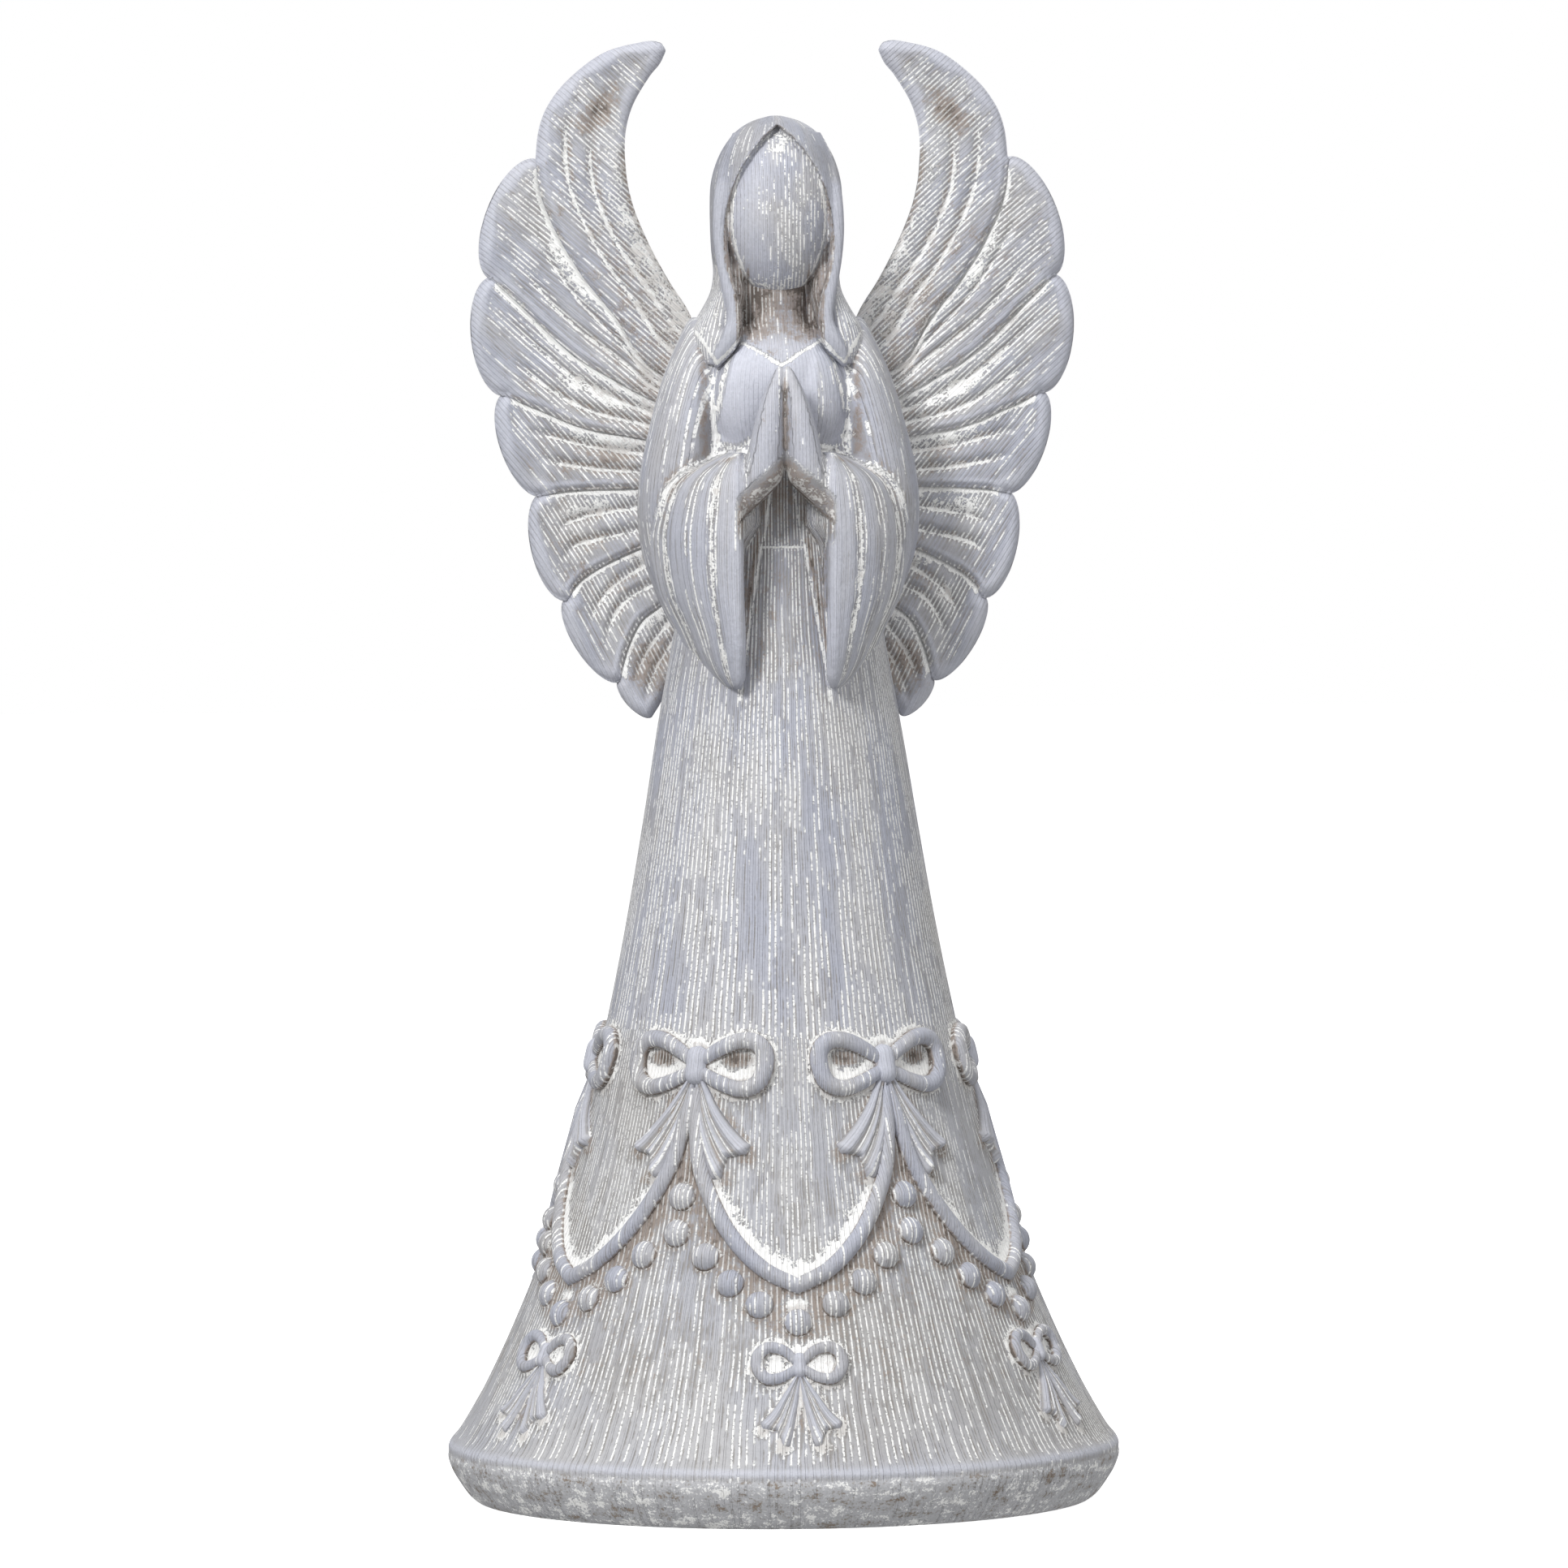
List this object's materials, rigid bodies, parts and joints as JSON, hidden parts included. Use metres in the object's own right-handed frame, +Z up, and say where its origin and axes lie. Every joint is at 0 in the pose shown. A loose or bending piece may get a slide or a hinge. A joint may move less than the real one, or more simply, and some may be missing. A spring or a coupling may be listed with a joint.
{
  "type": "angel statue",
  "caption": "Praying angel statue with upswept scalloped wings and a blank oval face, in a long flared dress ringed with bows, garlands and beads.",
  "frame": {"origin": "centre of the round underside that the statue stands on", "axes": "+Z up; the angel faces -Y; +X is on the right of someone who faces the statue"},
  "size_m": [0.2864, 0.286, 0.6196],
  "materials": {
    "stone": "matte"
  },
  "bodies": {
    "root": {"angel_statue": "stone"}
  },
  "joints": []
}
